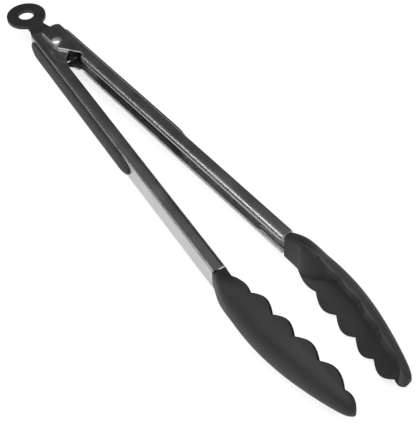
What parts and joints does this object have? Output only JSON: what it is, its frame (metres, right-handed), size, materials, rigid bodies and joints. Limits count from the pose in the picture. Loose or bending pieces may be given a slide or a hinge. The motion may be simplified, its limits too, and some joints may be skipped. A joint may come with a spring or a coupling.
{
  "type": "locking kitchen tongs",
  "caption": "Spring-loaded kitchen tongs with folded steel channel arms, rubber grips, scalloped nylon scoop heads and a pull-ring lock at the pivot.",
  "frame": {"origin": "bottom centre of the bounding box, with the tongs lying on their side", "axes": "+X runs from the pull ring to the scoop tips, +Z is the pivot axis, and the arms open along Y"},
  "size_m": [0.3414, 0.0576, 0.0314],
  "materials": {
    "brushed_steel": "satin, grained along each arm",
    "bright_steel": "bright",
    "black_nylon": "matte, fine moulded texture",
    "grip_rubber": "matte"
  },
  "bodies": {
    "pivot": {"pivot_rivet": "bright_steel", "rivet_cap": "bright_steel", "pivot_spool": "black_nylon", "spring_washer": "bright_steel", "torsion_spring": "bright_steel"},
    "left_arm": {"left_arm": "brushed_steel", "left_grip": "grip_rubber", "left_grip_strip": "black_nylon", "left_head": "black_nylon", "left_head_tang": "brushed_steel"},
    "right_arm": {"right_arm": "brushed_steel", "right_grip": "grip_rubber", "right_grip_strip": "black_nylon", "right_head": "black_nylon", "right_head_tang": "brushed_steel"},
    "lock": {"lock_plate": "bright_steel", "pull_ring": "black_nylon"}
  },
  "joints": [
    {"name": "left_arm_hinge", "type": "hinge", "parent": "pivot", "child": "left_arm", "pos_m": [-0.12082, 0, 0.01572], "axis": [0, 0, 1], "range_deg": [0, 2.4], "stiffness_Nm_per_rad": 0.4, "springref_deg": -45.84, "deforming": ["torsion_spring"]},
    {"name": "right_arm_hinge", "type": "hinge", "parent": "pivot", "child": "right_arm", "pos_m": [-0.12082, 0, 0.01572], "axis": [0, 0, 1], "range_deg": [-2.4, 0], "stiffness_Nm_per_rad": 0.4, "springref_deg": 45.84, "deforming": ["torsion_spring"]},
    {"name": "lock_slide", "type": "slide", "parent": "pivot", "child": "lock", "axis": [-1, 0, 0], "range_m": [0, 0.007]}
  ],
  "couplings": [
    {"joint": "right_arm_hinge", "follows": "left_arm_hinge", "ratio": -1}
  ]
}
